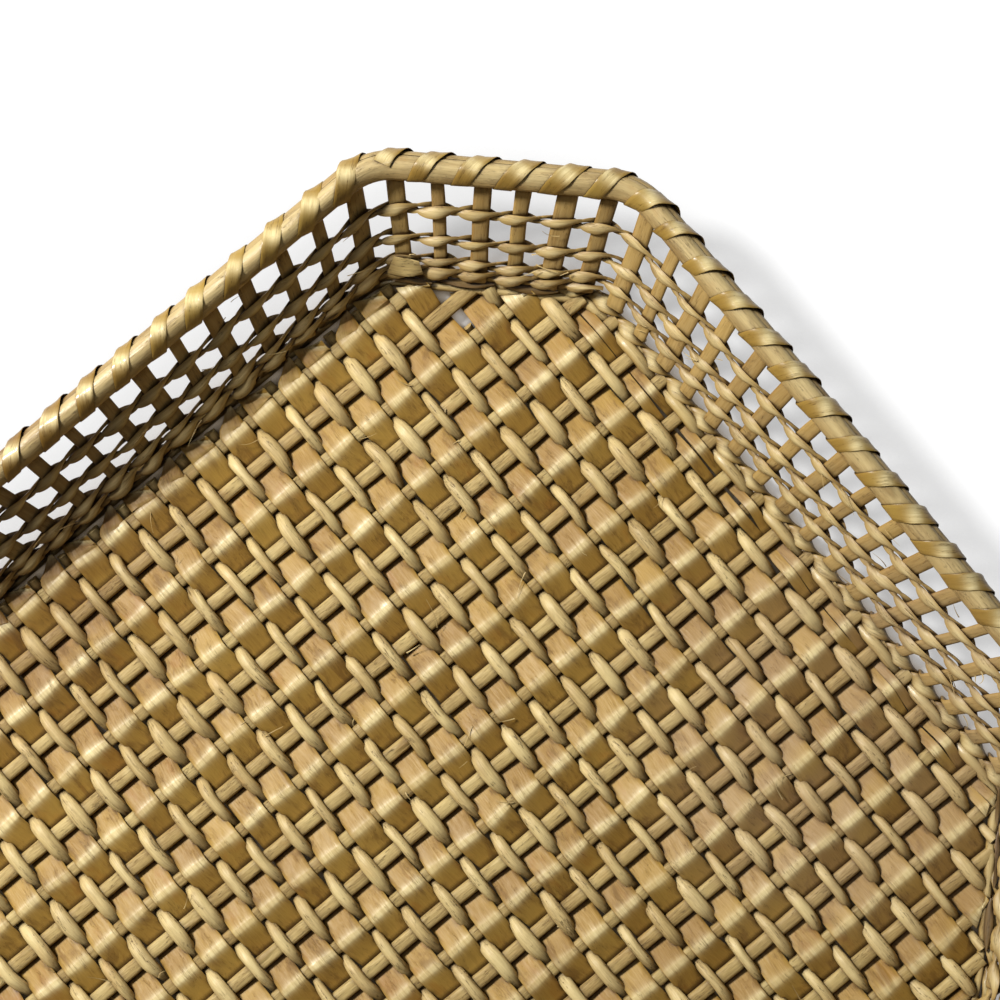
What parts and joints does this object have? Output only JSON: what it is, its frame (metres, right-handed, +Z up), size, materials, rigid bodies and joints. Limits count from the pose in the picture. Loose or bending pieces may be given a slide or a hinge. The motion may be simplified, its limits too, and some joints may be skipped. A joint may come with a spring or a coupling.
{
  "type": "drying basket",
  "caption": "Shallow woven willow tray with cut corners, a flat close-woven base, a sloping openwork side and a lashed rim, used for drying herbs or fruit.",
  "frame": {"origin": "on the floor, in the middle of the tray, under the centre of its bounding box", "axes": "+Z up, +X along the laths and the longer overall length, +Y along the flat strips"},
  "size_m": [0.5868, 0.5678, 0.0706],
  "materials": {
    "lath": "satin",
    "strip": "satin",
    "stake": "satin",
    "weaver": "satin",
    "hoop": "satin",
    "lashing": "gloss"
  },
  "bodies": {
    "root": {"base_border_laths_and_rods": "lath", "base_strip_01": "strip", "base_strip_02": "strip", "base_strip_03": "strip", "base_strip_04": "strip", "base_strip_05": "strip", "base_strip_06": "strip", "base_strip_07": "strip", "base_strip_08": "strip", "base_strip_09": "strip", "base_strip_10": "strip", "base_strip_11": "strip", "base_strip_12": "strip", "base_strip_13": "strip", "base_strip_14": "strip", "base_strip_15": "strip", "base_strip_16": "strip", "base_strip_17": "strip", "base_strip_18": "strip", "base_strip_19": "strip", "base_strip_20": "strip", "base_strip_21": "strip", "base_strip_22": "strip", "base_strip_23": "strip", "base_strip_24": "strip", "base_strip_25": "strip", "stakes_right": "stake", "stakes_corner_right_back": "stake", "stakes_back": "stake", "stakes_corner_left_back": "stake", "stakes_left": "stake", "stakes_corner_left_front": "stake", "stakes_front": "stake", "stakes_corner_right_front": "stake", "weaver_1_inner": "weaver", "weaver_1_outer": "weaver", "weaver_2_inner": "weaver", "weaver_2_outer": "weaver", "weaver_3_inner": "weaver", "weaver_3_outer": "weaver", "rim_inner_hoop": "hoop", "rim_outer_hoop": "hoop", "rim_lashing_right": "lashing", "rim_lashing_back": "lashing", "rim_lashing_left": "lashing", "rim_lashing_front": "lashing"}
  },
  "joints": []
}
